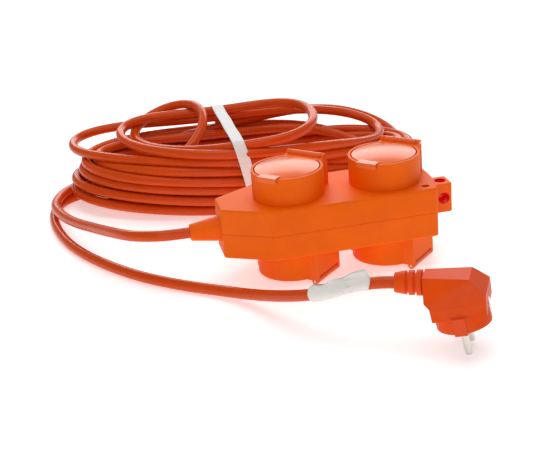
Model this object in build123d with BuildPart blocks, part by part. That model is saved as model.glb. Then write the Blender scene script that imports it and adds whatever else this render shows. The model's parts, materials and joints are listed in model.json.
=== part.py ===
from build123d import *
from math import cos, pi, radians, sin, tan
import os

# Four-way rubber extension lead: a flat two-part distribution block with four lidded earthed
# sockets (two up, two down), ten metres of three-core cord in a tied hank, and an angled plug.
# Millimetres. +X runs from the cord end of the block to its hanging lug, +Z is up, z = 0 is the
# floor that the lead lies on, and the origin is under the middle of the block.

os.makedirs("parts", exist_ok=True)

# ---------------------------------------------------------------- driving dimensions
MID_Z = 43.5                # height of the block's parting plane above the floor
SOCKET_PITCH = 74.7         # distance between the two pairs of sockets
SOCKET_MID_X = 13.0         # middle between the pairs
BODY_HALF_H = 19.2          # parting plane to the flat face of a shell
RIM_H = 40.5                # parting plane to the rim of a socket cup
WALL = 2.5                  # wall of the flat body

CORD_END_X = -78.8          # body end where the cord enters
TAPER_X = -43.4             # where the body reaches its full width
LUG_END_X = 80.5            # body end that carries the lug, at its corners
LUG_BULGE_X = 85.4          # the same end, at its middle
CORD_END_HALF_W = 13.4
BODY_HALF_W = 33.8

CUP_R = 27.0
CUP_BORE_R = 25.0
LEDGE_R = 21.0              # opening in the flat wall below an insert
FLAT_WALL_H = BODY_HALF_H - WALL

HINGE_REACH = 28.4          # socket axis to hinge pin axis
HINGE_RISE = 0.5            # hinge pin axis above the rim
KNUCKLE_R = 2.5
EAR_OUTER = 16.4            # half length of the hinge housing
EAR_INNER = 13.6            # half length of the slot for the lid's knuckle
HOUSING_ROOT = 12.0         # socket axis to the housing's inner end, buried in the cup's wall
SLOT_ROOT = 19.0            # socket axis to the slot's inner end
SLOT_DEPTH = 3.2            # rim down to the slot's floor
SPRING_GAP = 4.2            # half length of the pocket for the spring
SPRING_POCKET_R = 2.2
HINGE_PIN_R = 1.0
HINGE_PIN_CLEAR = 0.05

LID_R = 24.2
LID_DOME = 2.5
LID_SEAT = 2.0              # rim down to the lid's underside
TAB_HALF_W = 7.8
TAB_REACH = 28.2
TAB_ROOT = 21.5             # socket axis to the tab's inner end, inside the lid's edge
TAB_LIP_X = 24.5            # socket axis to the inner face of the tab's lip
TAB_LIP = 3.1               # depth of the lip below the rim
TAB_T = 0.9                 # tab's top above the rim
NOTCH_DEPTH = 3.4           # notch in the rim that the lip closes into
TONGUE_ROOT = 20.5          # socket axis to the tongue's inner end, inside the lid's edge
TONGUE_T = 1.9
LID_HOLLOW_R = 20.0         # hollow in the lid's underside

RECESS_R = 19.6             # socket recess
RECESS_FLOOR = 19.5         # height of the recess floor above the parting plane
INSERT_FACE = 37.0
INSERT_BASE = 17.0
PIN_OFFSET = 9.5            # half of the 19 mm contact spacing
PIN_HOLE_R = 2.75

BAR_Y = PIN_OFFSET * cos(radians(45))
BAR_T = 1.0
SLEEVE_R = 3.2
SLEEVE_BORE_R = 2.5
SLEEVE_TOP = 16.0

LUG_X = 101.0
LUG_HALF_W = 8.6
LUG_HALF_H = 11.6
LUG_HOLE_X = 94.2
LUG_HOLE_R = 4.3

SCREW_NEAR = (73.9, -25.9)  # the two screws driven from a shell's own flat face
SCREW_FAR = (-43.0, 24.5)
SCREW_HEAD_R = 2.8
SCREW_R = 1.5
SCREW_WELL_R = 2.95
SCREW_POST_R = 4.6
SCREW_HEAD_BASE = 8.0       # head seat above the parting plane
SCREW_LENGTH = 20.0

CORD_R = 4.2
BOOT_TIP_X = -101.0
TAIL_X = -100.0             # inner stub of the cord ends here, in the boot's mouth
JACKET_END_X = -62.0        # where the cord's jacket is stripped
CLAMP_X = -68.0
CLAMP_TOP = CORD_R + 2.2     # half height of the closed clamp
BOOT_NECK_R = 7.5

FLOOR_Z = 0.0


def on(base, local):
    """A plane given in the coordinates of another plane."""
    return Plane(base.location * local.location)


def upright(x, y, z=0.0):
    """A plane parallel to XY, at a point."""
    return Plane(origin=(x, y, z))


def save(part, name):
    part.label = name
    export_step(part, "parts/" + name + ".step")


# Each shell is drawn in its own frame, whose z points from the parting plane to its flat face.
# The lower shell is the upper one turned half a turn about X.
upper_side = Plane(origin=(0, 0, MID_Z), x_dir=(1, 0, 0), z_dir=(0, 0, 1))
lower_side = Plane(origin=(0, 0, MID_Z), x_dir=(1, 0, 0), z_dir=(0, 0, -1))
SOCKET_XS = (SOCKET_MID_X - SOCKET_PITCH / 2, SOCKET_MID_X + SOCKET_PITCH / 2)

# A socket's frame has its x towards its hinge, 45 degrees from the block's length.
HINGE_ANGLE = 45


def socket_frame(side, x):
    return on(side, Plane(origin=(x, 0, 0), x_dir=(cos(radians(HINGE_ANGLE)), sin(radians(HINGE_ANGLE)), 0),
                          z_dir=(0, 0, 1)))


sockets = [
    socket_frame(upper_side, SOCKET_XS[0]),
    socket_frame(upper_side, SOCKET_XS[1]),
    socket_frame(lower_side, SOCKET_XS[0]),
    socket_frame(lower_side, SOCKET_XS[1]),
]


def body_outline(inset):
    """Plan of the flat body, drawn in by an inset."""
    end_x = CORD_END_X + inset
    end_y = CORD_END_HALF_W - inset * tan(radians(30))
    taper_x = TAPER_X + inset * tan(radians(15))
    side_y = BODY_HALF_W - inset
    lug_x = LUG_END_X - inset
    bulge_x = LUG_BULGE_X - inset
    with BuildSketch() as outline:
        with BuildLine():
            Polyline((lug_x, -side_y), (taper_x, -side_y), (end_x, -end_y), (end_x, end_y),
                     (taper_x, side_y), (lug_x, side_y))
            ThreePointArc((lug_x, side_y), (bulge_x, 0), (lug_x, -side_y))
        make_face()
    return outline.sketch


# ---------------------------------------------------------------- upper_shell, lower_shell
def make_shell(side, name):
    with BuildPart() as shell:
        # flat body with rounded upright corners and a soft edge round its face
        with BuildSketch(side):
            add(body_outline(0))
        extrude(amount=BODY_HALF_H)
        upright_edges = [e for e in shell.edges().filter_by(Axis.Z)]
        fillet(upright_edges, radius=3.0)
        flat_face = shell.faces().sort_by(Axis(side.origin, side.z_dir))[-1]
        fillet(flat_face.edges(), radius=1.6)
        parting_face = shell.faces().sort_by(Axis(side.origin, side.z_dir))[0]
        chamfer(parting_face.edges(), length=0.35)

        # hanging lug, half in each shell
        lug_mid_x = (LUG_BULGE_X - 4 + LUG_X) / 2
        lug_length = LUG_X - (LUG_BULGE_X - 4)
        with BuildSketch(on(side, upright(lug_mid_x, 0))):
            RectangleRounded(lug_length, 2 * LUG_HALF_W, radius=2.0)
        extrude(amount=LUG_HALF_H)
        lug_face = shell.faces().filter_by(lambda f: abs(f.center().Z - MID_Z) > LUG_HALF_H - 0.1
                                           and abs(f.center().Z - MID_Z) < LUG_HALF_H + 0.1)
        fillet(lug_face.edges(), radius=0.8)

        # cups and hinge housings
        for x in SOCKET_XS:
            frame = socket_frame(side, x)
            with BuildSketch(on(frame, upright(0, 0, FLAT_WALL_H))):
                Circle(CUP_R)
            extrude(amount=RIM_H - FLAT_WALL_H)
            housing_mid = (HINGE_REACH + KNUCKLE_R + HOUSING_ROOT) / 2
            housing_depth = HINGE_REACH + KNUCKLE_R - HOUSING_ROOT
            with BuildSketch(on(frame, upright(housing_mid, 0, FLAT_WALL_H))):
                Rectangle(housing_depth, 2 * EAR_OUTER)
            extrude(amount=RIM_H - FLAT_WALL_H)
            ear_end = Plane(origin=(HINGE_REACH, -EAR_OUTER, RIM_H + HINGE_RISE), x_dir=(1, 0, 0),
                            z_dir=(0, 1, 0))
            with BuildSketch(on(frame, ear_end)):
                Circle(KNUCKLE_R)
                with Locations((0, HINGE_RISE)):
                    Rectangle(2 * KNUCKLE_R, 2 * HINGE_RISE + 0.4)
            extrude(amount=2 * EAR_OUTER)

        # hollow body
        with BuildSketch(side):
            add(body_outline(WALL))
        extrude(amount=FLAT_WALL_H, mode=Mode.SUBTRACT)

        for x in SOCKET_XS:
            frame = socket_frame(side, x)
            # bore of the cup, with the ledge that its insert rests on
            with BuildSketch(on(frame, upright(0, 0, BODY_HALF_H))):
                Circle(CUP_BORE_R)
            extrude(amount=RIM_H, mode=Mode.SUBTRACT)
            with BuildSketch(on(frame, upright(0, 0, FLAT_WALL_H - 1))):
                Circle(LEDGE_R)
            extrude(amount=WALL + 2, mode=Mode.SUBTRACT)
            # slot for the lid's knuckle and tongue
            slot_mid = (HINGE_REACH + KNUCKLE_R + 1 + SLOT_ROOT) / 2
            slot_reach = HINGE_REACH + KNUCKLE_R + 1 - SLOT_ROOT
            with BuildSketch(on(frame, upright(slot_mid, 0, RIM_H - SLOT_DEPTH))):
                Rectangle(slot_reach, 2 * EAR_INNER)
            extrude(amount=SLOT_DEPTH + 5, mode=Mode.SUBTRACT)
            # hole for the hinge pin
            pin_plane = Plane(origin=(HINGE_REACH, -EAR_OUTER - 1, RIM_H + HINGE_RISE), x_dir=(1, 0, 0),
                              z_dir=(0, 1, 0))
            with BuildSketch(on(frame, pin_plane)):
                Circle(HINGE_PIN_R)
            extrude(amount=2 * EAR_OUTER + 2, mode=Mode.SUBTRACT)
            # notch in the rim for the latch tab
            with BuildSketch(on(frame, upright(-CUP_R, 0, RIM_H - NOTCH_DEPTH))):
                Rectangle(7, 2 * TAB_HALF_W + 0.8)
            extrude(amount=NOTCH_DEPTH + 2, mode=Mode.SUBTRACT)

        # screw posts: two with wells for this shell's screws, two with pilot holes for the other's
        for x, y in (SCREW_NEAR, SCREW_FAR):
            with BuildSketch(on(side, upright(x, y))):
                Circle(SCREW_POST_R)
            extrude(amount=FLAT_WALL_H + 1)
            with BuildSketch(on(side, upright(x, y, SCREW_HEAD_BASE))):
                Circle(SCREW_WELL_R)
            extrude(amount=BODY_HALF_H, mode=Mode.SUBTRACT)
            with BuildSketch(on(side, upright(x, y, -1))):
                Circle(SCREW_R + 0.1)
            extrude(amount=SCREW_HEAD_BASE + 2, mode=Mode.SUBTRACT)
            with BuildSketch(on(side, upright(x, -y))):
                Circle(SCREW_POST_R)
            extrude(amount=FLAT_WALL_H + 1)
            with BuildSketch(on(side, upright(x, -y, -1))):
                Circle(SCREW_R)
            extrude(amount=SCREW_LENGTH - SCREW_HEAD_BASE + 1.5, mode=Mode.SUBTRACT)

        # ribs that clamp the contact bars at the parting plane
        for x in (SOCKET_MID_X - 3, SOCKET_MID_X + 3):
            with BuildSketch(on(side, upright(x, 0, BAR_T / 2))):
                Rectangle(1.8, 34)
            extrude(amount=FLAT_WALL_H - BAR_T / 2)

        # cradle for the cord clamp
        with BuildSketch(on(side, upright(CLAMP_X, 0, CLAMP_TOP))):
            Rectangle(6.5, 25)
        extrude(amount=FLAT_WALL_H - CLAMP_TOP)

        # opening for the boot's neck, and the crossing holes in the lug
        with BuildSketch(on(side, Plane(origin=(CORD_END_X - 1, 0, 0), x_dir=(0, 1, 0), z_dir=(1, 0, 0)))):
            Circle(BOOT_NECK_R)
        extrude(amount=WALL + 2, mode=Mode.SUBTRACT)
        with BuildSketch(on(side, upright(LUG_HOLE_X, 0, -1))):
            Circle(LUG_HOLE_R)
        extrude(amount=LUG_HALF_H + 3, mode=Mode.SUBTRACT)
        with BuildSketch(on(side, Plane(origin=(LUG_HOLE_X, -LUG_HALF_W - 1, 0), x_dir=(1, 0, 0),
                                        z_dir=(0, 1, 0)))):
            Circle(LUG_HOLE_R)
        extrude(amount=2 * LUG_HALF_W + 2, mode=Mode.SUBTRACT)
    save(shell.part, name)


make_shell(upper_side, "upper_shell")
make_shell(lower_side, "lower_shell")

# ---------------------------------------------------------------- housing_screws
with BuildPart() as housing_screws:
    for side in (upper_side, lower_side):
        for x, y in (SCREW_NEAR, SCREW_FAR):
            with BuildSketch(on(side, upright(x, y, SCREW_HEAD_BASE))):
                Circle(SCREW_HEAD_R)
            extrude(amount=2.2)
            with BuildSketch(on(side, upright(x, y, SCREW_HEAD_BASE + 1.2))):
                Rectangle(4.2, 0.8)
                Rectangle(0.8, 4.2)
            extrude(amount=1.2, mode=Mode.SUBTRACT)
            with BuildSketch(on(side, upright(x, y, SCREW_HEAD_BASE))):
                Circle(SCREW_R)
            extrude(amount=-SCREW_LENGTH)
save(housing_screws.part, "housing_screws")

# ---------------------------------------------------------------- sockets
CLIP_INNER = 19.9           # earth contact spring, from the socket axis
CLIP_T = 0.6
CLIP_HALF_W = 2.0
CLIP_TOP = 34.5
GASKET_T = 1.2
GASKET_R = 23.6
GASKET_BORE_R = 21.0


def make_insert(frame, name):
    with BuildPart() as insert:
        with BuildSketch(on(frame, Plane.XZ)):
            with BuildLine():
                Polyline((0, INSERT_BASE), (LEDGE_R, INSERT_BASE), (LEDGE_R, BODY_HALF_H),
                         (RECESS_R + 2.6, BODY_HALF_H), (RECESS_R + 2.6, INSERT_FACE - 2.5),
                         (CUP_BORE_R, INSERT_FACE - 2.5), (CUP_BORE_R, INSERT_FACE),
                         (RECESS_R, INSERT_FACE), (RECESS_R, RECESS_FLOOR), (0, RECESS_FLOOR),
                         (0, INSERT_BASE))
            make_face()
        revolve(axis=Axis(frame.origin, frame.z_dir))
        # holes for the plug's pins, with a countersunk mouth
        with BuildSketch(on(frame, upright(0, 0, INSERT_BASE - 1))):
            with Locations((0, PIN_OFFSET), (0, -PIN_OFFSET)):
                Circle(PIN_HOLE_R)
        extrude(amount=RECESS_FLOOR - INSERT_BASE + 2, mode=Mode.SUBTRACT)
        # slots for the two springs of the earth contact
        for direction in (1, -1):
            with BuildSketch(on(frame, upright(direction * (CLIP_INNER + 0.2), 0, INSERT_BASE - 1))):
                Rectangle(1.8, 2 * CLIP_HALF_W + 0.6)
            extrude(amount=CLIP_TOP + 0.6 - INSERT_BASE + 1, mode=Mode.SUBTRACT)
    save(insert.part, name)


def make_earth_contact(frame, name):
    with BuildPart() as contact:
        outer = CLIP_INNER + CLIP_T
        with BuildSketch(on(frame, Plane(origin=(0, CLIP_HALF_W, 0), x_dir=(1, 0, 0), z_dir=(0, -1, 0)))):
            with BuildLine():
                Polyline((-outer, CLIP_TOP), (-outer, INSERT_BASE - CLIP_T), (outer, INSERT_BASE - CLIP_T),
                         (outer, CLIP_TOP), (CLIP_INNER, CLIP_TOP), (CLIP_INNER, INSERT_BASE),
                         (-CLIP_INNER, INSERT_BASE), (-CLIP_INNER, CLIP_TOP), (-outer, CLIP_TOP))
            make_face()
        extrude(amount=2 * CLIP_HALF_W)
    save(contact.part, name)


def dome_point(edge_r, edge_z, apex_z, at_r):
    """Point at a radius on the sphere through an apex on the axis and a round edge."""
    rise = apex_z - edge_z
    sphere_r = (edge_r ** 2 + rise ** 2) / (2 * rise)
    return (at_r, apex_z - sphere_r + (sphere_r ** 2 - at_r ** 2) ** 0.5)


def make_lid(frame, name):
    hinge = on(frame, Plane(origin=(HINGE_REACH, 0, RIM_H + HINGE_RISE), x_dir=(1, 0, 0), z_dir=(0, 1, 0)))
    with BuildPart() as lid:
        # shallow dome with a rounded edge and a hollow underside
        with BuildSketch(on(frame, Plane.XZ)):
            with BuildLine():
                ThreePointArc((0, RIM_H + LID_DOME),
                              dome_point(LID_R - 0.5, RIM_H + 0.1, RIM_H + LID_DOME, LID_R / 2),
                              (LID_R - 0.5, RIM_H + 0.1))
                ThreePointArc((LID_R - 0.5, RIM_H + 0.1), (LID_R - 0.12, RIM_H - 0.12), (LID_R, RIM_H - 0.5))
                Line((LID_R, RIM_H - 0.5), (LID_R, RIM_H - LID_SEAT))
                Line((LID_R, RIM_H - LID_SEAT), (LID_HOLLOW_R, RIM_H - LID_SEAT))
                Line((LID_HOLLOW_R, RIM_H - LID_SEAT), (LID_HOLLOW_R, RIM_H - 1.2))
                ThreePointArc((LID_HOLLOW_R, RIM_H - 1.2),
                              dome_point(LID_HOLLOW_R, RIM_H - 1.2, RIM_H + 0.7, LID_R / 2),
                              (0, RIM_H + 0.7))
                Line((0, RIM_H + 0.7), (0, RIM_H + LID_DOME))
            make_face()
        revolve(axis=Axis(frame.origin, frame.z_dir))
        # tongue and knuckle
        tongue_half = EAR_INNER - 0.4
        with BuildSketch(on(frame, upright((TONGUE_ROOT + HINGE_REACH) / 2, 0, RIM_H - LID_SEAT))):
            Rectangle(HINGE_REACH - TONGUE_ROOT, 2 * tongue_half)
        extrude(amount=TONGUE_T)
        with BuildSketch(hinge.offset(-tongue_half)):
            Circle(KNUCKLE_R)
        extrude(amount=2 * tongue_half)
        with BuildSketch(hinge.offset(-SPRING_GAP)):
            Circle(SPRING_POCKET_R)
        extrude(amount=2 * SPRING_GAP, mode=Mode.SUBTRACT)
        with BuildSketch(hinge.offset(-EAR_OUTER)):
            Circle(HINGE_PIN_R + HINGE_PIN_CLEAR)
        extrude(amount=2 * EAR_OUTER, mode=Mode.SUBTRACT)
        # latch tab over the rim
        with BuildSketch(on(frame, upright(-(TAB_REACH + TAB_ROOT) / 2, 0, RIM_H - LID_SEAT))):
            Rectangle(TAB_REACH - TAB_ROOT, 2 * TAB_HALF_W)
        extrude(amount=LID_SEAT + TAB_T)
        with BuildSketch(on(frame, upright(-(TAB_REACH + TAB_LIP_X) / 2, 0, RIM_H - TAB_LIP))):
            Rectangle(TAB_REACH - TAB_LIP_X, 2 * TAB_HALF_W)
        extrude(amount=TAB_LIP)
    save(lid.part, name)


def make_gasket(frame, name):
    with BuildPart() as gasket:
        with BuildSketch(on(frame, upright(0, 0, RIM_H - LID_SEAT - GASKET_T))):
            Circle(GASKET_R)
            Circle(GASKET_BORE_R, mode=Mode.SUBTRACT)
        extrude(amount=GASKET_T)
    save(gasket.part, name)


def make_hinge_pin(frame, name):
    hinge = on(frame, Plane(origin=(HINGE_REACH, 0, RIM_H + HINGE_RISE), x_dir=(1, 0, 0), z_dir=(0, 1, 0)))
    with BuildPart() as pin:
        with BuildSketch(hinge.offset(-EAR_OUTER - 0.2)):
            Circle(HINGE_PIN_R)
        extrude(amount=2 * EAR_OUTER + 0.4)
    save(pin.part, name)


SPRING_WIRE_R = 0.32
SPRING_R = 1.75
SPRING_TURNS = 6
SPRING_LENGTH = 7.0


def make_lid_spring(frame, name):
    start = on(frame, Plane(origin=(HINGE_REACH, -SPRING_LENGTH / 2, RIM_H + HINGE_RISE), x_dir=(1, 0, 0),
                            z_dir=(0, 1, 0)))
    with BuildPart() as spring:
        with BuildLine():
            coil = Helix(pitch=SPRING_LENGTH / SPRING_TURNS, height=SPRING_LENGTH, radius=SPRING_R,
                         center=start.origin, direction=start.z_dir)
        with BuildSketch(Plane(origin=coil @ 0, z_dir=coil % 0)):
            Circle(SPRING_WIRE_R)
        sweep(path=coil, is_frenet=True)
    save(spring.part, name)


for number, frame in enumerate(sockets, start=1):
    make_insert(frame, f"socket_insert_{number}")
    make_earth_contact(frame, f"earth_contact_{number}")
    make_lid(frame, f"lid_{number}")
    make_gasket(frame, f"lid_gasket_{number}")
    make_hinge_pin(frame, f"hinge_pin_{number}")
    make_lid_spring(frame, f"lid_spring_{number}")

# ---------------------------------------------------------------- live_bar, neutral_bar and their sleeves
BAR_START_X = SOCKET_XS[0] - 12.5
BAR_END_X = SOCKET_XS[1] + 12.5
BAR_W = 5.0


def make_bar(y, name):
    with BuildPart() as bar:
        with BuildSketch(on(upper_side, upright((BAR_START_X + BAR_END_X) / 2, y, -BAR_T / 2))):
            Rectangle(BAR_END_X - BAR_START_X, BAR_W)
        extrude(amount=BAR_T)
    save(bar.part, name)


def make_sleeves(y, name):
    """Four round contacts on one bar: each socket pair has one facing up and one facing down."""
    with BuildPart() as sleeves:
        for side in (upper_side, lower_side):
            local_y = y if side is upper_side else -y
            for x in SOCKET_XS:
                sleeve_x = x - local_y
                with BuildSketch(on(side, upright(sleeve_x, local_y, BAR_T / 2))):
                    Circle(SLEEVE_R)
                extrude(amount=SLEEVE_TOP - BAR_T / 2)
                with BuildSketch(on(side, upright(sleeve_x, local_y, BAR_T / 2 + 0.6))):
                    Circle(SLEEVE_BORE_R)
                extrude(amount=SLEEVE_TOP, mode=Mode.SUBTRACT)
                with BuildSketch(on(side, upright(sleeve_x, local_y, BAR_T / 2 + 4))):
                    Rectangle(2 * SLEEVE_R + 1, 0.7)
                extrude(amount=SLEEVE_TOP, mode=Mode.SUBTRACT)
    save(sleeves.part, name)


make_bar(BAR_Y, "live_bar")
make_bar(-BAR_Y, "neutral_bar")
make_sleeves(BAR_Y, "live_contact_sleeves")
make_sleeves(-BAR_Y, "neutral_contact_sleeves")

# ---------------------------------------------------------------- earth_bar
EARTH_BAR_W = 2.6
EARTH_POST_R = 1.3
with BuildPart() as earth_bar:
    with BuildSketch(on(upper_side, upright((BAR_START_X + SOCKET_XS[1] + 3) / 2, 0, -BAR_T / 2))):
        Rectangle(SOCKET_XS[1] + 3 - BAR_START_X, EARTH_BAR_W)
    extrude(amount=BAR_T)
    for x in SOCKET_XS:
        with BuildSketch(on(upper_side, upright(x, 0, -INSERT_BASE + CLIP_T))):
            Circle(EARTH_POST_R)
        extrude(amount=2 * (INSERT_BASE - CLIP_T))
save(earth_bar.part, "earth_bar")

# ---------------------------------------------------------------- terminal_blocks, terminal_screws
TERMINAL_LENGTH = 7.0
TERMINAL_W = 5.4
TERMINAL_H = 7.0
TERMINAL_BORE_R = 1.6
TERMINAL_SCREW_R = 1.3
WIRE_DEPTH = 4.5
terminal_x = BAR_START_X - TERMINAL_LENGTH / 2
terminal_ys = (BAR_Y, 0, -BAR_Y)
with BuildPart() as terminal_blocks:
    with BuildSketch(on(upper_side, upright(terminal_x, 0, -TERMINAL_H / 2))):
        with Locations(*[(0, y) for y in terminal_ys]):
            Rectangle(TERMINAL_LENGTH, TERMINAL_W)
    extrude(amount=TERMINAL_H)
    mouth = Plane(origin=(terminal_x - TERMINAL_LENGTH / 2, 0, 0), x_dir=(0, 1, 0), z_dir=(1, 0, 0))
    with BuildSketch(on(upper_side, mouth)):
        with Locations(*[(y, 0) for y in terminal_ys]):
            Circle(TERMINAL_BORE_R)
    extrude(amount=WIRE_DEPTH, mode=Mode.SUBTRACT)
    with BuildSketch(on(upper_side, upright(terminal_x, 0, TERMINAL_BORE_R))):
        with Locations(*[(0, y) for y in terminal_ys]):
            Circle(TERMINAL_SCREW_R)
    extrude(amount=TERMINAL_H, mode=Mode.SUBTRACT)
save(terminal_blocks.part, "terminal_blocks")

with BuildPart() as terminal_screws:
    with BuildSketch(on(upper_side, upright(terminal_x, 0, TERMINAL_BORE_R))):
        with Locations(*[(0, y) for y in terminal_ys]):
            Circle(TERMINAL_SCREW_R)
    extrude(amount=4.4)
    with BuildSketch(on(upper_side, upright(terminal_x, 0, TERMINAL_BORE_R + 3.6))):
        with Locations(*[(0, y) for y in terminal_ys]):
            Rectangle(3, 0.6)
    extrude(amount=1, mode=Mode.SUBTRACT)
save(terminal_screws.part, "terminal_screws")

# ---------------------------------------------------------------- cord entry
BOOT_ROOT_R = 9.6
BOOT_TIP_R = 6.3
BOOT_FLANGE_R = 9.2
with BuildPart() as cord_boot:
    with BuildSketch(on(upper_side, Plane.XZ)):
        with BuildLine():
            Polyline((BOOT_TIP_X, CORD_R), (BOOT_TIP_X, BOOT_TIP_R - 0.8), (BOOT_TIP_X + 0.8, BOOT_TIP_R),
                     (CORD_END_X, BOOT_ROOT_R), (CORD_END_X, BOOT_NECK_R),
                     (CORD_END_X + WALL, BOOT_NECK_R), (CORD_END_X + WALL, BOOT_FLANGE_R),
                     (CORD_END_X + WALL + 2.6, BOOT_FLANGE_R), (CORD_END_X + WALL + 2.6, CORD_R),
                     (BOOT_TIP_X, CORD_R))
        make_face()
    revolve(axis=Axis(upper_side.origin, (1, 0, 0)))
save(cord_boot.part, "cord_boot")

with BuildPart() as cord_tail:
    with BuildSketch(on(upper_side, Plane(origin=(TAIL_X, 0, 0), x_dir=(0, 1, 0), z_dir=(1, 0, 0)))):
        Circle(CORD_R)
    extrude(amount=JACKET_END_X - TAIL_X)
save(cord_tail.part, "cord_tail")

CLAMP_GAP = 0.4
CLAMP_SCREW_Y = 8.0
CLAMP_SCREW_R = 1.25
CLAMP_HEAD_R = 2.3
CLAMP_HEAD_DEPTH = 2.0


def make_clamp(side, name):
    with BuildPart() as clamp:
        with BuildSketch(on(side, upright(CLAMP_X, 0, CLAMP_GAP))):
            RectangleRounded(6, 22, radius=1.2)
        extrude(amount=CLAMP_TOP - CLAMP_GAP)
        groove = Plane(origin=(CLAMP_X - 5, 0, 0), x_dir=(0, 1, 0), z_dir=(1, 0, 0))
        with BuildSketch(on(side, groove)):
            Circle(CORD_R)
        extrude(amount=10, mode=Mode.SUBTRACT)
        with BuildSketch(on(side, upright(CLAMP_X, 0, 0))):
            with Locations((0, CLAMP_SCREW_Y), (0, -CLAMP_SCREW_Y)):
                Circle(CLAMP_SCREW_R)
        extrude(amount=CLAMP_TOP, mode=Mode.SUBTRACT)
        with BuildSketch(on(side, upright(CLAMP_X, 0, CLAMP_TOP - CLAMP_HEAD_DEPTH))):
            with Locations((0, CLAMP_SCREW_Y), (0, -CLAMP_SCREW_Y)):
                Circle(CLAMP_HEAD_R + 0.1)
        extrude(amount=CLAMP_HEAD_DEPTH, mode=Mode.SUBTRACT)
    save(clamp.part, name)


make_clamp(upper_side, "cord_clamp_top")
make_clamp(lower_side, "cord_clamp_bottom")

with BuildPart() as clamp_screws:
    with BuildSketch(on(upper_side, upright(CLAMP_X, 0, -CLAMP_TOP + 0.2))):
        with Locations((0, CLAMP_SCREW_Y), (0, -CLAMP_SCREW_Y)):
            Circle(CLAMP_SCREW_R)
    extrude(amount=2 * CLAMP_TOP - CLAMP_HEAD_DEPTH - 0.2)
    with BuildSketch(on(upper_side, upright(CLAMP_X, 0, CLAMP_TOP - CLAMP_HEAD_DEPTH))):
        with Locations((0, CLAMP_SCREW_Y), (0, -CLAMP_SCREW_Y)):
            Circle(CLAMP_HEAD_R)
    extrude(amount=CLAMP_HEAD_DEPTH - 0.2)
save(clamp_screws.part, "clamp_screws")

# ---------------------------------------------------------------- cores of the cord, inside the block
WIRE_R = 1.4
WIRE_LAY_R = 1.9


def make_wire(start_angle, end_y, name):
    start_y = WIRE_LAY_R * cos(radians(start_angle))
    start_z = WIRE_LAY_R * sin(radians(start_angle))
    wire_end_x = terminal_x - TERMINAL_LENGTH / 2 + WIRE_DEPTH
    route = [
        Vector(JACKET_END_X, start_y, MID_Z + start_z),
        Vector(JACKET_END_X + 6, start_y, MID_Z + start_z),
        Vector(terminal_x - TERMINAL_LENGTH / 2 - 4, end_y, MID_Z),
        Vector(wire_end_x, end_y, MID_Z),
    ]
    with BuildPart() as wire:
        with BuildLine() as path:
            FilletPolyline(*route, radius=4)
        with BuildSketch(Plane(origin=path.line @ 0, z_dir=path.line % 0)):
            Circle(WIRE_R)
        sweep(path=path.line)
    save(wire.part, name)


make_wire(-30, BAR_Y, "wire_live")
make_wire(90, 0, "wire_earth")
make_wire(210, -BAR_Y, "wire_neutral")

# ---------------------------------------------------------------- plug
# The plug stands on its two pins and leans a little towards its cord. Its frame has z up the pins,
# x away from the cord and y along the line of the pins, with its origin between the pin tips.
PLUG_YAW = -27.0
PLUG_LEAN = 11.5
PLUG_X = 56.3
PLUG_Y = -161.5
PLUG_Z = 0.3                # the leaning tips' rounded edges just touch the floor
plug_level = Plane(origin=(PLUG_X, PLUG_Y, PLUG_Z), x_dir=(cos(radians(PLUG_YAW)), sin(radians(PLUG_YAW)), 0),
                   z_dir=(0, 0, 1))
plug = on(plug_level, Plane(origin=(0, 0, 0), x_dir=(cos(radians(PLUG_LEAN)), 0, sin(radians(PLUG_LEAN))),
                            z_dir=(-sin(radians(PLUG_LEAN)), 0, cos(radians(PLUG_LEAN)))))
PIN_R = 2.4
PIN_LENGTH = 19.0           # tip to the plug's face
PIN_ROOT_R = 2.0            # shouldered root that the bridge holds
PIN_TIP_FILLET = 1.2
PLUG_R = 18.4
COLLAR_TOP = 30.0
NECK_SLANT = 9.4
NECK_ROOT = (-18.5, 50.0)
NECK_R = 6.4
NECK_LENGTH = 20.2
BRIDGE_TOP = 27.0
BRIDGE_R = 13.0

# outline seen from the side, with the neck's root at the upper left
side_profile = Plane(origin=(0, 0, 0), x_dir=(1, 0, 0), z_dir=(0, -1, 0))
end_profile = Plane(origin=(0, 0, 0), x_dir=(0, 1, 0), z_dir=(1, 0, 0))
neck_dir = (-cos(radians(NECK_SLANT)), 0, sin(radians(NECK_SLANT)))
neck = on(plug, Plane(origin=(NECK_ROOT[0], 0, NECK_ROOT[1]), x_dir=(0, 1, 0), z_dir=neck_dir))

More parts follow.
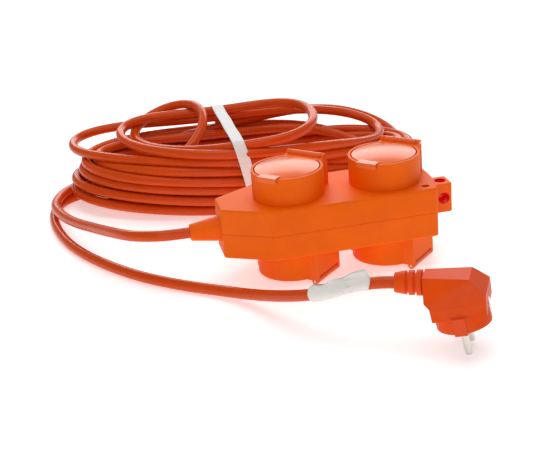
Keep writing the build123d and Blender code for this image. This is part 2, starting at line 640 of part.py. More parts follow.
with BuildPart() as plug_body:
    # hood: the side outline cut to the end outline
    with BuildSketch(on(plug, side_profile).offset(-20)):
        with BuildLine():
            Polyline((-20.2, 41.5), (-17.2, 37.5), (-17.0, COLLAR_TOP - 1), (18.2, COLLAR_TOP - 1),
                     (19.8, 41.5), (11.0, 52.0), (-18.8, 56.5), (-20.2, 41.5))
        make_face()
    extrude(amount=40)
    with BuildSketch(on(plug, end_profile).offset(-40)):
        with BuildLine():
            Polyline((-17.2, COLLAR_TOP - 1), (-16.2, 36.5), (-11.4, 49.0), (-7.0, 57.0), (7.0, 57.0),
                     (11.4, 49.0), (16.2, 36.5), (17.2, COLLAR_TOP - 1), (-17.2, COLLAR_TOP - 1))
        make_face()
    extrude(amount=80, mode=Mode.INTERSECT)
    # round collar with two guide keys
    with BuildSketch(plug.offset(PIN_LENGTH)):
        Circle(PLUG_R)
    extrude(amount=COLLAR_TOP - PIN_LENGTH)
    with BuildSketch(plug.offset(PIN_LENGTH - 0.8)):
        with Locations((0, PLUG_R - 0.6), (0, 0.6 - PLUG_R)):
            Rectangle(8.4, 3.2)
    extrude(amount=COLLAR_TOP - PIN_LENGTH + 0.8)
    # neck with three ribs
    with BuildSketch(neck.offset(-3)):
        Circle(NECK_R)
    extrude(amount=NECK_LENGTH + 2)
    for rib_start, rib_length, rib_r in ((2.4, 3.2, 8.5), (7.6, 3.2, 8.2)):
        with BuildSketch(neck.offset(rib_start)):
            Circle(rib_r)
        extrude(amount=rib_length)
    with BuildSketch(neck.offset(12.6)):
        Circle(7.9)
    extrude(amount=NECK_LENGTH - 12.6, taper=10)
    # pocket for the pin bridge, and grooves for the earth clips
    with BuildSketch(plug.offset(PIN_LENGTH)):
        Circle(BRIDGE_R)
    extrude(amount=BRIDGE_TOP - PIN_LENGTH, mode=Mode.SUBTRACT)
    for direction in (1, -1):
        with BuildSketch(on(plug, upright(direction * (PLUG_R + 1.4), 0, PIN_LENGTH - 1))):
            Rectangle(4.0, 5.2)
        extrude(amount=16.5, mode=Mode.SUBTRACT)
save(plug_body.part, "plug_body")

with BuildPart() as plug_bridge:
    with BuildSketch(plug.offset(PIN_LENGTH)):
        Circle(BRIDGE_R)
        with Locations((0, PIN_OFFSET), (0, -PIN_OFFSET)):
            Circle(PIN_ROOT_R, mode=Mode.SUBTRACT)
    extrude(amount=BRIDGE_TOP - PIN_LENGTH)
save(plug_bridge.part, "plug_bridge")

with BuildPart() as plug_pins:
    for direction in (1, -1):
        with BuildSketch(on(plug, upright(0, direction * PIN_OFFSET))):
            Circle(PIN_R)
        extrude(amount=PIN_LENGTH)
        with BuildSketch(on(plug, upright(0, direction * PIN_OFFSET, PIN_LENGTH))):
            Circle(PIN_ROOT_R)
        extrude(amount=BRIDGE_TOP - PIN_LENGTH)
    tip_edges = plug_pins.edges().filter_by(GeomType.CIRCLE).sort_by(Axis(plug.origin, plug.z_dir))[0:2]
    fillet(tip_edges, radius=PIN_TIP_FILLET)
save(plug_pins.part, "plug_pins")

with BuildPart() as plug_earth_clips:
    for direction in (1, -1):
        with BuildSketch(on(plug, upright(direction * (PLUG_R - 0.1), 0, PIN_LENGTH + 1))):
            Rectangle(1.0, 4.6)
        extrude(amount=14.0)
save(plug_earth_clips.part, "plug_earth_clips")

# ---------------------------------------------------------------- cord_hank and hank_tie
HANK_LEFT_X = -196.0
HANK_RIGHT_X = 146.0
HANK_FRONT_Y = 108.0
HANK_BACK_Y = 254.0
HANK_H = 66.0
TIE_X = -32.0
TIE_W = 10.0
TIE_T = 0.8
TIE_FRONT_Y = 118.0
TIE_BACK_Y = 214.0


def hank_solid(inset):
    """Outer shape of the hank: two round ends and a slightly drawn-in waist, drawn in by an inset."""
    front = HANK_FRONT_Y + inset
    back = HANK_BACK_Y - inset
    end_r = (back - front) / 2
    left_x = HANK_LEFT_X + inset + end_r
    right_x = HANK_RIGHT_X - inset - end_r
    mid_y = (front + back) / 2
    with BuildPart() as solid:
        with BuildSketch(upright(0, 0, FLOOR_Z + inset)):
            with BuildLine():
                ThreePointArc((left_x, front), (left_x - end_r, mid_y), (left_x, back))
                ThreePointArc((left_x, back), (TIE_X, TIE_BACK_Y - inset), (right_x, back))
                ThreePointArc((right_x, back), (right_x + end_r, mid_y), (right_x, front))
                ThreePointArc((right_x, front), (TIE_X, TIE_FRONT_Y + inset), (left_x, front))
            make_face()
        extrude(amount=HANK_H - 2 * inset)
    return solid.part


with BuildPart() as cord_hank:
    add(hank_solid(0))
    with BuildSketch(upright(TIE_X, (TIE_FRONT_Y + TIE_BACK_Y) / 2)):
        Rectangle(TIE_W, 2 * HANK_BACK_Y)
    extrude(amount=HANK_H, mode=Mode.SUBTRACT)
    add(hank_solid(TIE_T))
save(cord_hank.part, "cord_hank")

with BuildPart() as hank_tie:
    with BuildSketch(upright(TIE_X, (TIE_FRONT_Y + TIE_BACK_Y) / 2)):
        Rectangle(TIE_W, 2 * HANK_BACK_Y)
    extrude(amount=HANK_H)
    add(hank_solid(0), mode=Mode.INTERSECT)
    add(hank_solid(TIE_T), mode=Mode.SUBTRACT)
save(hank_tie.part, "hank_tie")

# ---------------------------------------------------------------- the cord's uncoiled stretches


def make_cord(route, name):
    """Straight runs joined by arcs as large as their two runs allow."""
    points = [Vector(*point) for point in route]
    runs = [(b - a).length for a, b in zip(points, points[1:])]
    radii = []
    for index in range(1, len(points) - 1):
        before = points[index] - points[index - 1]
        after = points[index + 1] - points[index]
        turn = before.get_angle(after)
        radii.append(0.45 * min(runs[index - 1], runs[index]) / tan(radians(turn) / 2))
    with BuildPart() as cord:
        with BuildLine() as path:
            FilletPolyline(*points, radius=radii)
        with BuildSketch(Plane(origin=path.line @ 0, z_dir=path.line % 0)):
            Circle(CORD_R)
        sweep(path=path.line)
    length = sum(edge.length for edge in path.line.edges())
    section = cord.part.volume / (pi * CORD_R ** 2)
    print(name, "length", round(length, 1), "volume / section", round(section, 1),
          "smallest radius", round(min(radii), 1))
    save(cord.part, name)


# from the block's boot, out to the left and round into the hank's far end
block_end_route = [
    (TAIL_X, 0, MID_Z),
    (-114, 0, MID_Z),
    (-127.4, 4.0, 43.3),
    (-139.0, 11.8, 42.2),
    (-148.0, 22.6, 40.0),
    (-157.5, 45, 34.5),
    (-169, 79, 26.5),
    (-181, 113, 19.5),
    (-192, 147, 14.8),
    (-200, 182, 13.4),
    (-196, 204, 13.6),
    (-184, 221, 14.4),
    (-167, 232.5, 15.5),
]
# from the hank's far end, forwards along the floor and round to the plug
neck_entry = neck.offset(NECK_LENGTH).origin
neck_out = neck.z_dir
plug_end_route = [
    (-165, 233, 4.3),
    (-184.5, 220, 4.3),
    (-195.5, 203, 4.3),
    (-200, 182, 4.3),
    (-199, 150, 4.3),
    (-191, 112, 4.3),
    (-178, 80, 4.3),
    (-160, 49, 4.3),
    (-138, 20, 4.3),
    (-111, -6, 4.4),
    (-86, -26, 4.9),
    (-69, -47, 8.5),
    (-54, -75, 17.0),
    (-38, -105, 28.5),
    (-20, -123, 38.0),
    tuple(neck_entry + neck_out * 16),
    tuple(neck_entry),
]
make_cord(block_end_route, "cord_block_end")
make_cord(plug_end_route, "cord_plug_end")

# ---------------------------------------------------------------- cord_label
LABEL_R = 6.6
LABEL_BORE_R = 5.6
LABEL_START = Vector(-6.5, -129.6, 42.4)
LABEL_END = Vector(-36.5, -106.5, 29.5)
with BuildPart() as cord_label:
    label_dir = (LABEL_END - LABEL_START).normalized()
    with BuildSketch(Plane(origin=LABEL_START, z_dir=label_dir)):
        Circle(LABEL_R)
        Circle(LABEL_BORE_R, mode=Mode.SUBTRACT)
    extrude(amount=(LABEL_END - LABEL_START).length)
save(cord_label.part, "cord_label")
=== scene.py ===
"""Four-way extension lead with its cord in a tied hank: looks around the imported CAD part. Metres."""

import json
import math

import bpy
import numpy as np
from mathutils import Matrix, Vector


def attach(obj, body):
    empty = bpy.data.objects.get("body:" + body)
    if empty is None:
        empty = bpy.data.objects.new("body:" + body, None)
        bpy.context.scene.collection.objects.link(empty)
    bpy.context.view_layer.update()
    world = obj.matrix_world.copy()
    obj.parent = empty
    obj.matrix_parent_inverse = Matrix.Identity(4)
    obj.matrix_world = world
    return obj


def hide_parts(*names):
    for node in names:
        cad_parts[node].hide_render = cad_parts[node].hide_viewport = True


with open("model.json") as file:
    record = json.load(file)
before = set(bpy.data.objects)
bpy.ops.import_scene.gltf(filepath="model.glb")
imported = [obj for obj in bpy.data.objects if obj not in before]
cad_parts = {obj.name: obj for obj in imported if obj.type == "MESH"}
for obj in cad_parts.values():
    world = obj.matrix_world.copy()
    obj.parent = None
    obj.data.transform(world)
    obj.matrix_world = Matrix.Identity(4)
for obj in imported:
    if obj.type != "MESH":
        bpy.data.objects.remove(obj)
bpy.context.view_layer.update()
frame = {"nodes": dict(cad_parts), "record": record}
nodes = frame["nodes"]

# ---------------------------------------------------------------- camera, at the photograph's angle
CAMERA_AT = (-0.18454, -0.79590, 0.37124)
LENS = 76.13
SENSOR_WIDTH = 36.0
RIGHT = Vector((0.97423, -0.21254, -0.07554))
UP = Vector((0.14937, 0.35693, 0.92211))
FORWARD = Vector((0.16902, 0.90963, -0.37948))
camera_data = bpy.data.cameras.new("camera")
camera_data.lens = LENS
camera_data.sensor_width = SENSOR_WIDTH
camera_data.clip_start = 0.02
camera = bpy.data.objects.new("camera", camera_data)
bpy.context.scene.collection.objects.link(camera)
camera.matrix_world = Matrix((
    (RIGHT.x, UP.x, -FORWARD.x, CAMERA_AT[0]),
    (RIGHT.y, UP.y, -FORWARD.y, CAMERA_AT[1]),
    (RIGHT.z, UP.z, -FORWARD.z, CAMERA_AT[2]),
    (0, 0, 0, 1),
))
bpy.context.scene.camera = camera

# ---------------------------------------------------------------- the cord's route, in millimetres
CORD_D = 8.4
CORD_R_M = CORD_D / 2000.0
# from inside the boot, out to the left and round to the hank's left end
LEAD = [
    (-99, 0, 43.5), (-116, 0.3, 43.5), (-129, 5, 43), (-141, 14, 41.5), (-150, 29, 38.5), (-159, 53, 33),
    (-170, 84, 26), (-182, 116, 19.5), (-193, 150, 15), (-199, 185, 13.4),
]
# along the floor from the hank's left end, forwards and round to the plug
TAIL = [
    (-134, 238, 4.6), (-163, 234, 4.4), (-184.5, 220, 4.3), (-196, 203, 4.3), (-200, 182, 4.3),
    (-199, 150, 4.3), (-191, 112, 4.3), (-178, 80, 4.3), (-160, 49, 4.3), (-138, 20, 4.3), (-111, -6, 4.4),
    (-86, -26, 4.9), (-69, -47, 8.5), (-54, -75, 17), (-38, -105, 28.5), (-20, -123, 38),
    (-0.96, -132.32, 44.28), (13.28, -139.58, 44.87),
]
# The hank's stacked turns. Each has its left end's reach and height, its height and place at the
# front of the tie, its right end's reach and height, and its place and height at the back of the tie.
TURNS = [
    (-197, 13, 130, 5, 148, 5, 212, 10),
    (-188, 14, 123, 14, 141, 13, 214, 20),
    (-186, 24, 122, 24, 132, 5, 212, 30),
    (-178, 33, 121, 34, 124, 14, 212, 40),
    (-174, 42, 120, 44, 116, 5, 211, 50),
    (-165, 43, 130, 50, 106, 13, 203, 46),
    (-163, 34, 132, 41, 137, 22, 203, 37),
    (-168, 24, 132, 31, 128, 24, 203, 27),
    (-172, 14, 132, 22, 114, 22, 202, 17),
    (-178, 5, 131, 12, 100, 6, 203, 7),
]


# the outermost turn's left and right ends, and how far back its ends lie
OUTER_LEFT = -197
OUTER_RIGHT = 148
OUTER_END_Y = 212
INNER_LEFT = (-164, 8)


def hank_turn(turn, following):
    """One turn: the left end, the back, the right end, the front, and up to the next turn's left end."""
    left, left_z, front_y, front_z, right, right_z, back_y, back_z = turn
    next_left, next_z = following
    in_left = left - OUTER_LEFT
    in_next = next_left - OUTER_LEFT
    short = OUTER_RIGHT - right
    end_y = OUTER_END_Y - 0.25 * in_left
    return [
        (left, end_y, left_z),
        (0.95 * left, end_y + 30, left_z + 1),
        (0.81 * left, end_y + 48 - 0.12 * in_left, 0.75 * left_z + 0.25 * back_z),
        (0.6 * left, end_y + 44 - 0.25 * in_left, 0.4 * left_z + 0.6 * back_z),
        (-72, back_y + 10, back_z - 1),
        (-32, back_y, back_z),
        (8, back_y + 10, back_z + 1),
        (0.34 * right, back_y + 26, 0.9 * back_z + 0.1 * right_z),
        (0.6 * right, back_y + 36 - 0.2 * short, 0.65 * back_z + 0.35 * right_z),
        (0.85 * right, back_y + 26 - 0.45 * short, 0.25 * back_z + 0.75 * right_z),
        (right, back_y - 8 - 0.55 * short, right_z),
        (0.97 * right, back_y - 36 - 0.3 * short, 0.9 * right_z + 0.1 * front_z),
        (0.78 * right, front_y + 20 - 0.1 * short, 0.7 * right_z + 0.3 * front_z),
        (0.46 * right, front_y + 5, 0.35 * right_z + 0.65 * front_z),
        (8, front_y - 3, front_z),
        (-32, front_y - 4, front_z),
        (-74, front_y + 4, 0.8 * front_z + 0.2 * next_z),
        (0.6 * next_left, front_y + 22 - 0.15 * in_next, 0.4 * front_z + 0.6 * next_z),
        (0.8 * next_left, front_y + 42 - 0.2 * in_next, 0.1 * front_z + 0.9 * next_z),
        (0.94 * next_left, end_y - 22, next_z),
    ]


# the climb inside the hank, the loose loops on top of it, then the large arch and the small one
LOOPS = [
    (-158, 216, 12), (-150, 244, 22), (-120, 250, 34), (-84, 226, 44), (-32, 204, 55), (8, 218, 60),
    (42, 240, 60), (82, 248, 52), (112, 243, 38), (131, 232, 20), (136, 206, 13), (124, 172, 18),
    (90, 142, 30), (44, 122, 46), (4, 112, 55), (-32, 106, 55), (-70, 124, 53), (-106, 150, 47),
    (-140, 172, 43), (-168, 198, 43), (-183, 226, 46), (-179, 252, 50), (-159, 266, 54),
    (-130, 266, 56), (-101, 250, 58), (-72, 226, 59), (-32, 204, 61), (10, 218, 62), (48, 238, 56),
    (84, 248, 46), (108, 236, 34), (116, 206, 24), (106, 172, 26), (78, 142, 36), (42, 122, 51),
    (4, 112, 60), (-32, 106, 60), (-68, 120, 57), (-100, 146, 57), (-124, 170, 58), (-137, 196, 60),
    (-137, 222, 62), (-121, 241, 64), (-96, 244, 65), (-66, 224, 66), (-36, 205, 67), (-9, 210, 72),
    (13, 212, 75), (32, 196, 76), (39, 168, 75), (35, 140, 71), (22, 118, 66), (0, 107, 65),
    (-32, 104, 65), (-60, 126, 58), (-88, 152, 54), (-116, 184, 53), (-130, 212, 54), (-122, 236, 58),
    (-104, 246, 64), (-84, 248, 69), (-66, 240, 74), (-55, 222, 77), (-51, 199, 75), (-57, 174, 66),
    (-74, 154, 54),
]
# down into the middle, round the right end on its inner side, and out under the left end
RETURN = [
    (-96, 146, 42), (-118, 158, 33), (-138, 180, 27), (-140, 206, 24), (-122, 228, 22), (-94, 232, 20),
    (-62, 213, 17), (-32, 198, 14), (6, 206, 11), (38, 219, 7), (62, 213, 5), (76, 190, 5), (70, 164, 5),
    (46, 149, 5), (18, 147, 5), (-14, 160, 5), (-46, 180, 5), (-78, 206, 5), (-106, 228, 4.8),
]
turns = []
for index, turn in enumerate(TURNS):
    following = TURNS[index + 1][:2] if index + 1 < len(TURNS) else INNER_LEFT
    turns += hank_turn(turn, following)[1 if index == 0 else 0:]


SETTLE_ROUNDS = 90
CLEARANCE = 1.02 * CORD_D
PROBES = 6
PUSH = 2.2
EASE = 0.012
STIFFNESS = 0.2
PULL_BACK = 0.03
LOWEST = CORD_D / 2 + 0.1


def settle(points, held_first, held_last, rounds):
    """Moves the wound part's points: apart where runs are nearer than a diameter, gentler at sharp bends as
    a stiff cord is, a little back towards where they began, and never below the floor. Adds no points."""
    start = np.array(points, float)
    place = start.copy()
    share = np.ones(len(place))
    share[:held_first] = 0.0
    share[-held_last:] = 0.0
    along = (np.arange(PROBES) + 0.5) / PROBES
    for _ in range(rounds):
        run_a, run_b = place[:-1], place[1:]
        probe = run_a[:, None] * (1 - along)[None, :, None] + run_b[:, None] * along[None, :, None]
        probe = probe.reshape(-1, 3)
        square = (probe ** 2).sum(1)
        apart = square[:, None] + square[None, :] - 2 * probe @ probe.T
        close = np.argwhere(apart < CLEARANCE ** 2)
        close = close[np.abs(close[:, 0] - close[:, 1]) > 3 * PROBES]
        gap = probe[close[:, 0]] - probe[close[:, 1]]
        distance = np.linalg.norm(gap, axis=1)[:, None] + 1e-6
        push = gap / distance * (CLEARANCE - distance) * 0.5
        moved = np.zeros_like(probe)
        count = np.zeros(len(probe))
        np.add.at(moved, close[:, 0], push)
        np.add.at(count, close[:, 0], 1)
        moved /= np.maximum(count, 1)[:, None]
        moved = moved.reshape(-1, PROBES, 3)
        change = np.zeros_like(place)
        weight = np.full(len(place), 1e-6)
        for probe_index, share_b in enumerate(along):
            change[:-1] += moved[:, probe_index] * (1 - share_b)
            change[1:] += moved[:, probe_index] * share_b
            weight[:-1] += (1 - share_b)
            weight[1:] += share_b
        smooth = np.zeros_like(place)
        smooth[1:-1] = (place[:-2] + place[2:]) / 2 - place[1:-1]
        stiff = np.zeros_like(place)
        stiff[1:-1] = (smooth[:-2] + smooth[2:]) / 2 - smooth[1:-1]
        change = (PUSH * change / weight[:, None] + EASE * smooth - STIFFNESS * stiff
                  + PULL_BACK * (start - place))
        place += change * share[:, None]
        place[:, 2] = np.where(share > 0, np.maximum(place[:, 2], LOWEST), place[:, 2])
    return place


route = LEAD + turns + LOOPS + RETURN + TAIL
route = settle(route, len(LEAD), len(TAIL) - 2, SETTLE_ROUNDS) / 1000.0

cord_curve = bpy.data.curves.new("cord", "CURVE")
cord_curve.dimensions = "3D"
cord_spline = cord_curve.splines.new("NURBS")
cord_spline.points.add(len(route) - 1)
for spline_point, place in zip(cord_spline.points, route):
    spline_point.co = (place[0], place[1], place[2], 1.0)
    spline_point.radius = CORD_R_M
cord_spline.order_u = 3
cord_spline.use_endpoint_u = True
cord_spline.resolution_u = 6
cord = bpy.data.objects.new("cord", cord_curve)
bpy.context.scene.collection.objects.link(cord)


def centreline(curve_object):
    """The points of the cord's own line, read from the spline before it has a thickness."""
    bpy.context.view_layer.update()
    evaluated = curve_object.evaluated_get(bpy.context.evaluated_depsgraph_get())
    mesh = bpy.data.meshes.new_from_object(evaluated)
    line = np.array([v.co for v in mesh.vertices], float)
    bpy.data.meshes.remove(mesh)
    return line


line = centreline(cord)
# each point's radius is the cord's, so the bevel multiplies it by one
cord_curve.bevel_depth = 1.0
cord_curve.bevel_resolution = 5
cord_curve.use_fill_caps = True
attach(cord, "block")
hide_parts("cord_block_end", "cord_plug_end", "cord_hank")

# ---------------------------------------------------------------- materials


def link(tree, source, target):
    tree.links.new(source, target)


SPECULAR = 0.12
COAT_ROUGHNESS = 0.18
BUMP_STRENGTH = 0.35


def finish_material(name, colour, dark, light, rough, grain, grain_depth, blotch, metal=0.0, wear=0.0,
                    streak=None, coat=0.0):
    """A moulded, coated or paper surface: blotched colour, varied roughness, fine grain, worn edges."""
    material = bpy.data.materials.new(name)
    material.use_nodes = True
    tree = material.node_tree
    shader = tree.nodes["Principled BSDF"]
    shader.inputs["Metallic"].default_value = metal
    shader.inputs["Specular IOR Level"].default_value = SPECULAR
    shader.inputs["Coat Weight"].default_value = coat
    shader.inputs["Coat Roughness"].default_value = COAT_ROUGHNESS
    place = tree.nodes.new("ShaderNodeTexCoord")
    mapping = tree.nodes.new("ShaderNodeMapping")
    link(tree, place.outputs["Object"], mapping.inputs["Vector"])
    if streak:
        mapping.inputs["Scale"].default_value = streak

    cloud = tree.nodes.new("ShaderNodeTexNoise")
    cloud.inputs["Scale"].default_value = blotch
    cloud.inputs["Detail"].default_value = 5.0
    cloud.inputs["Roughness"].default_value = 0.62
    link(tree, mapping.outputs["Vector"], cloud.inputs["Vector"])
    ramp = tree.nodes.new("ShaderNodeValToRGB")
    ramp.color_ramp.elements[0].position = 0.28
    ramp.color_ramp.elements[0].color = (*[c * dark for c in colour], 1)
    ramp.color_ramp.elements[1].position = 0.72
    ramp.color_ramp.elements[1].color = (*[min(1.0, c * light) for c in colour], 1)
    link(tree, cloud.outputs["Fac"], ramp.inputs["Fac"])
    base = ramp.outputs["Color"]

    speck = tree.nodes.new("ShaderNodeTexNoise")
    speck.inputs["Scale"].default_value = grain
    speck.inputs["Detail"].default_value = 3.0
    link(tree, mapping.outputs["Vector"], speck.inputs["Vector"])

    if wear > 0:
        geometry = tree.nodes.new("ShaderNodeNewGeometry")
        edge = tree.nodes.new("ShaderNodeMapRange")
        edge.inputs["From Min"].default_value = 0.53
        edge.inputs["From Max"].default_value = 0.62
        edge.inputs["To Max"].default_value = wear
        link(tree, geometry.outputs["Pointiness"], edge.inputs["Value"])
        worn = tree.nodes.new("ShaderNodeMix")
        worn.data_type = "RGBA"
        link(tree, edge.outputs["Result"], worn.inputs["Factor"])
        link(tree, base, worn.inputs["A"])
        worn.inputs["B"].default_value = (*[min(1.0, 0.8 * c + 0.12) for c in colour], 1)
        base = worn.outputs["Result"]
    link(tree, base, shader.inputs["Base Color"])

    gloss = tree.nodes.new("ShaderNodeMapRange")
    gloss.inputs["From Min"].default_value = 0.3
    gloss.inputs["From Max"].default_value = 0.7
    gloss.inputs["To Min"].default_value = rough[0]
    gloss.inputs["To Max"].default_value = rough[1]
    link(tree, cloud.outputs["Fac"], gloss.inputs["Value"])
    link(tree, gloss.outputs["Result"], shader.inputs["Roughness"])

    bump = tree.nodes.new("ShaderNodeBump")
    bump.inputs["Strength"].default_value = BUMP_STRENGTH
    bump.inputs["Distance"].default_value = grain_depth
    link(tree, speck.outputs["Fac"], bump.inputs["Height"])
    link(tree, bump.outputs["Normal"], shader.inputs["Normal"])
    return material


LUG_CENTRE = (0.0942, 0.0, 0.0435)
HOLE_EDGE_R = 0.00475
HOLE_WALL_R = 0.00438
HOLE_RED = (0.86, 0.004, 0.004, 1)


def redden_holes(material):
    """Colours the walls of the lug's two crossing holes a pure deep red."""
    tree = material.node_tree
    shader = tree.nodes["Principled BSDF"]
    old = shader.inputs["Base Color"].links[0].from_socket
    place = tree.nodes.new("ShaderNodeTexCoord")
    centred = tree.nodes.new("ShaderNodeVectorMath")
    centred.operation = "SUBTRACT"
    centred.inputs[1].default_value = LUG_CENTRE
    link(tree, place.outputs["Object"], centred.inputs[0])
    nearest = None
    for keep in ((1, 1, 0), (1, 0, 1)):
        flat = tree.nodes.new("ShaderNodeVectorMath")
        flat.operation = "MULTIPLY"
        flat.inputs[1].default_value = keep
        link(tree, centred.outputs["Vector"], flat.inputs[0])
        reach = tree.nodes.new("ShaderNodeVectorMath")
        reach.operation = "LENGTH"
        link(tree, flat.outputs["Vector"], reach.inputs[0])
        if nearest is None:
            nearest = reach.outputs["Value"]
        else:
            least = tree.nodes.new("ShaderNodeMath")
            least.operation = "MINIMUM"
            link(tree, nearest, least.inputs[0])
            link(tree, reach.outputs["Value"], least.inputs[1])
            nearest = least.outputs["Value"]
    inside = tree.nodes.new("ShaderNodeMapRange")
    inside.inputs["From Min"].default_value = HOLE_EDGE_R
    inside.inputs["From Max"].default_value = HOLE_WALL_R
    link(tree, nearest, inside.inputs["Value"])
    mix = tree.nodes.new("ShaderNodeMix")
    mix.data_type = "RGBA"
    link(tree, inside.outputs["Result"], mix.inputs["Factor"])
    link(tree, old, mix.inputs["A"])
    mix.inputs["B"].default_value = HOLE_RED
    link(tree, mix.outputs["Result"], shader.inputs["Base Color"])


ORANGE = (1.0, 0.145, 0.0)
FINISHES = {
    "shell": finish_material(
        "moulded_shell", ORANGE, 0.9, 1.05, (0.42, 0.58), 2600, 0.00006, 38, wear=0.12),
    "lid": finish_material(
        "moulded_lid", (0.97, 0.14, 0.0), 0.95, 1.04, (0.24, 0.34), 2200, 0.00004, 45, wear=0.25,
        coat=0.35),
    "boot": finish_material(
        "boot_rubber", (0.97, 0.13, 0.0), 0.9, 1.05, (0.38, 0.52), 2400, 0.00007, 55, wear=0.15),
    "plug_moulding": finish_material(
        "plug_rubber", (0.86, 0.078, 0.0), 0.88, 1.06, (0.36, 0.5), 2300, 0.00008, 48, wear=0.16),
    "cord_jacket": finish_material(
        "cord_pvc", (0.7, 0.07, 0.0), 0.94, 1.04, (0.22, 0.34), 1500, 0.00003, 30, coat=0.25),
    "insert_plastic": finish_material(
        "insert_plastic", (0.06, 0.055, 0.05), 0.85, 1.15, (0.4, 0.55), 2200, 0.00005, 60, wear=0.12),
    "clamp_plastic": finish_material(
        "clamp_plastic", (0.62, 0.6, 0.55), 0.9, 1.06, (0.4, 0.55), 2000, 0.00005, 60),
    "gasket": finish_material(
        "gasket_rubber", (0.035, 0.033, 0.032), 0.8, 1.2, (0.6, 0.8), 3000, 0.00008, 80),
    "steel": finish_material(
        "turned_steel", (0.56, 0.56, 0.57), 0.88, 1.08, (0.22, 0.4), 5200, 0.00003, 160, metal=1.0,
        wear=0.1),
    "nickel": finish_material(
        "nickel_plate", (0.72, 0.69, 0.64), 0.9, 1.05, (0.16, 0.32), 4800, 0.00003, 140, metal=1.0,
        wear=0.1),
    "brass": finish_material(
        "brass_strip", (0.78, 0.56, 0.24), 0.84, 1.08, (0.24, 0.42), 4600, 0.00004, 150, metal=1.0,
        streak=(0.15, 1.0, 1.0)),
    "wire_brown": finish_material(
        "core_brown", (0.2, 0.075, 0.03), 0.88, 1.1, (0.35, 0.5), 2000, 0.00004, 120),
    "wire_blue": finish_material(
        "core_blue", (0.03, 0.12, 0.5), 0.88, 1.1, (0.35, 0.5), 2000, 0.00004, 120),
    "wire_earth_green": finish_material(
        "core_green", (0.12, 0.42, 0.04), 0.88, 1.1, (0.35, 0.5), 2000, 0.00004, 120),
    "tie_paper": finish_material(
        "tie_paper", (0.93, 0.92, 0.9), 0.93, 1.03, (0.55, 0.75), 3800, 0.0001, 240,
        streak=(0.35, 1.0, 1.0)),
    "label_paper": finish_material(
        "label_paper", (0.87, 0.83, 0.78), 0.9, 1.05, (0.5, 0.7), 3600, 0.00012, 200,
        streak=(1.0, 0.4, 1.0)),
}
redden_holes(FINISHES["shell"])
for subpart in frame["record"]["subparts"]:
    for slot in nodes[subpart["node"]].material_slots:
        slot.material = FINISHES[subpart["material_slot"]]
cord_curve.materials.append(FINISHES["cord_jacket"])


def strip_object(name, rows, material, thickness, closed=False):
    """A thin sheet of paper from rows of points."""
    count = len(rows[0])
    vertices = [tuple(p) for row in rows for p in row]
    faces = []
    for r in range(len(rows) - (0 if closed else 1)):
        next_r = (r + 1) % len(rows)
        for c in range(count - 1):
            faces.append((r * count + c, r * count + c + 1, next_r * count + c + 1, next_r * count + c))
    mesh = bpy.data.meshes.new(name)
    mesh.from_pydata(vertices, [], faces)
    mesh.polygons.foreach_set("use_smooth", [True] * len(faces))
    mesh.materials.append(material)
    sheet = bpy.data.objects.new(name, mesh)
    bpy.context.scene.collection.objects.link(sheet)
    solidify = sheet.modifiers.new("thickness", "SOLIDIFY")
    solidify.thickness = thickness
    solidify.offset = 1.0
    return sheet


# ---------------------------------------------------------------- the paper tie round the hank's waist
TIE_W = 0.0102
TIE_T = 0.00025
TIE_LIFT = 0.0006
TIE_CURL = 0.0004
TIE_STEPS = 150
TIE_TOP_X = -0.0395
TIE_TOP_Z = 0.066
TIE_LEAN = 0.2
HELD_HALF_W = 0.0055
HANK_FRONT_Y = 0.08
ABOVE_FLOOR = 0.0003


def tie_x(z):
    """The tie leans: further right at the floor than on top."""
    return TIE_TOP_X + (TIE_TOP_Z - z) * TIE_LEAN


def outline_of(points):
    """Convex outline of plane points, counterclockwise."""
    ordered = sorted(set(map(tuple, points)))
    halves = []
    for sequence in (ordered, ordered[::-1]):
        half = []
        for p in sequence:
            while len(half) > 1 and ((half[-1][0] - half[-2][0]) * (p[1] - half[-2][1])
                                     - (half[-1][1] - half[-2][1]) * (p[0] - half[-2][0])) <= 0:
                half.pop()
            half.append(p)
        halves.append(half[:-1])
    return np.array(halves[0] + halves[1])


held = line[(np.abs(line[:, 0] - tie_x(line[:, 2])) < HELD_HALF_W) & (line[:, 1] > HANK_FRONT_Y)]
ring = [(math.cos(a), math.sin(a)) for a in np.linspace(0, 2 * math.pi, 24, endpoint=False)]
strand_points = [(y + (CORD_R_M + TIE_LIFT) * c, max(ABOVE_FLOOR, z + (CORD_R_M + TIE_LIFT) * s))
                 for _, y, z in held for c, s in ring]
outline = outline_of(strand_points)
closed_outline = np.vstack([outline, outline[:1]])
lengths = np.concatenate([[0], np.cumsum(np.linalg.norm(np.diff(closed_outline, axis=0), axis=1))])
TIE_ROUND = float(lengths[-1])
band_rows = []
for step in range(TIE_STEPS):
    at = TIE_ROUND * step / TIE_STEPS
    y = float(np.interp(at, lengths, closed_outline[:, 0]))
    z = float(np.interp(at, lengths, closed_outline[:, 1]))
    row = []
    for across in np.linspace(-0.5, 0.5, 7):
        curl = TIE_CURL * (2 * across) ** 2 * math.sin(9 * at / TIE_ROUND * 2 * math.pi)
        row.append((tie_x(z) + across * TIE_W, y, max(ABOVE_FLOOR, z + curl)))
    band_rows.append(row)
tie = strip_object("tie_band", band_rows, FINISHES["tie_paper"], closed=True, thickness=TIE_T)
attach(tie, "block")
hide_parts("hank_tie")

# ---------------------------------------------------------------- the folded paper label on the cord
LABEL_LEFT = Vector((-0.0365, -0.1065, 0.0295))
LABEL_RIGHT = Vector((-0.0035, -0.1312, 0.0448))
LABEL_T = 0.00018
LABEL_STEPS = 34
LABEL_ROUND_STEPS = 28
# the share of the sheet, at each of its two ends, that stands up as the flag
FLAG_SHARE = 0.2
HUG_ANGLE = 300
TORN_FROM = 0.84
TORN_REACH = 0.004
LOOK_AHEAD = 0.002


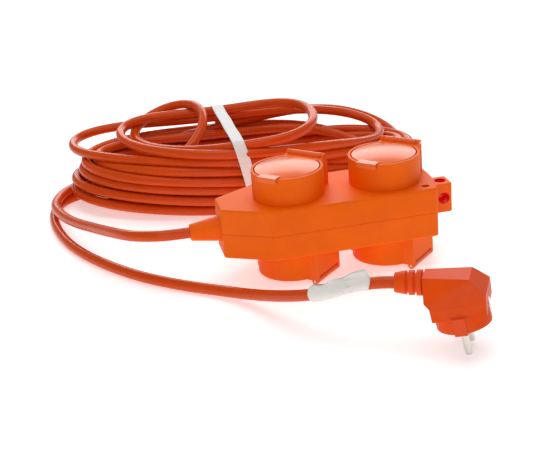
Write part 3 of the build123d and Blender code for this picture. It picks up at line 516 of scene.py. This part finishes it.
def along_label(at):
    """The cord's middle at a distance along the labelled stretch."""
    at = min(max(at, 0.0), stretch_at[-1])
    return Vector([float(np.interp(at, stretch_at, stretch[:, k])) for k in range(3)])


def nearest_on(points, target):
    return int(np.argmin(np.linalg.norm(points - np.array(target), axis=1)))


first = nearest_on(line, LABEL_LEFT)
last = nearest_on(line, LABEL_RIGHT)
stretch = line[first:last + 1]
stretch_at = np.concatenate([[0], np.cumsum(np.linalg.norm(np.diff(stretch, axis=0), axis=1))])
label_rows = []
for step in range(LABEL_STEPS + 1):
    f = step / LABEL_STEPS
    at = stretch_at[-1] * f
    middle = along_label(at)
    direction = (along_label(at + LOOK_AHEAD) - along_label(at - LOOK_AHEAD)).normalized()
    side = direction.cross(Vector((0, 0, 1))).normalized()
    above = side.cross(direction).normalized()
    flag = 0.0012 + 0.0058 * f ** 1.6 + 0.0005 * math.sin(17 * f)
    hug = 0.00465 + 0.0006 * math.sin(5 * f + 1)
    row = []
    for step_round in range(LABEL_ROUND_STEPS + 1):
        g = step_round / LABEL_ROUND_STEPS
        if g < FLAG_SHARE or g > 1 - FLAG_SHARE:
            rise = (FLAG_SHARE - min(g, 1 - g)) / FLAG_SHARE
            sign = 1 if g < FLAG_SHARE else -1
            wave = 0.0007 * math.sin(11 * f + 5 * rise) * rise
            offset = (side * (sign * (0.0007 + 0.0022 * (1 - rise) ** 2) + wave)
                      + above * (hug * 0.88 + flag * rise))
        else:
            round_share = (g - FLAG_SHARE) / (1 - 2 * FLAG_SHARE)
            turn_angle = math.radians(60) - round_share * math.radians(HUG_ANGLE)
            offset = side * hug * math.cos(turn_angle) + above * hug * math.sin(turn_angle)
        if f > TORN_FROM:
            torn = (f - TORN_FROM) / (1 - TORN_FROM)
            offset += direction * (TORN_REACH * torn * math.sin(6 * g + 0.5))
        row.append(middle + offset)
    label_rows.append(row)
label = strip_object("cord_flag_label", label_rows, FINISHES["label_paper"], thickness=LABEL_T)
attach(label, "block")
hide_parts("cord_label")

# ---------------------------------------------------------------- floor and light
FLOOR_REACH = 4.0
FLOOR_Z = -0.0002
floor_corners = [(FLOOR_REACH * a, FLOOR_REACH * b, FLOOR_Z) for a, b in ((-1, -1), (1, -1), (1, 1), (-1, 1))]
floor_mesh = bpy.data.meshes.new("floor")
floor_mesh.from_pydata(floor_corners, [], [(0, 1, 2, 3)])
floor = bpy.data.objects.new("floor", floor_mesh)
bpy.context.scene.collection.objects.link(floor)
floor_material = bpy.data.materials.new("floor_paint")
floor_material.use_nodes = True
floor_shader = floor_material.node_tree.nodes["Principled BSDF"]
floor_shader.inputs["Base Color"].default_value = (0.93, 0.93, 0.93, 1)
floor_shader.inputs["Roughness"].default_value = 0.85
floor_shader.inputs["Emission Color"].default_value = (1, 1, 1, 1)
floor_shader.inputs["Emission Strength"].default_value = 0.45
floor_mesh.materials.append(floor_material)


def softbox(name, place, towards, width, height, power):
    lamp = bpy.data.lights.new(name, "AREA")
    lamp.shape = "RECTANGLE"
    lamp.size = width
    lamp.size_y = height
    lamp.energy = power
    box = bpy.data.objects.new(name, lamp)
    bpy.context.scene.collection.objects.link(box)
    box.location = place
    box.rotation_mode = "QUATERNION"
    box.rotation_quaternion = (Vector(towards) - Vector(place)).to_track_quat("-Z", "Y")


softbox("top_light", (0.0, 0.1, 1.5), (0.0, 0.05, 0.0), 1.4, 1.1, 9)
softbox("back_light", (0.35, 1.5, 0.75), (0.0, 0.0, 0.05), 1.9, 0.7, 14)
softbox("front_light", (-0.5, -1.5, 0.7), (0.0, 0.0, 0.05), 1.2, 0.8, 4)
world = bpy.data.worlds.new("studio")
world.use_nodes = True
background = world.node_tree.nodes["Background"]
background.inputs["Color"].default_value = (1, 1, 1, 1)
background.inputs["Strength"].default_value = 0.3
bpy.context.scene.world = world
bpy.context.scene.view_settings.view_transform = "Standard"

bpy.context.view_layer.update()
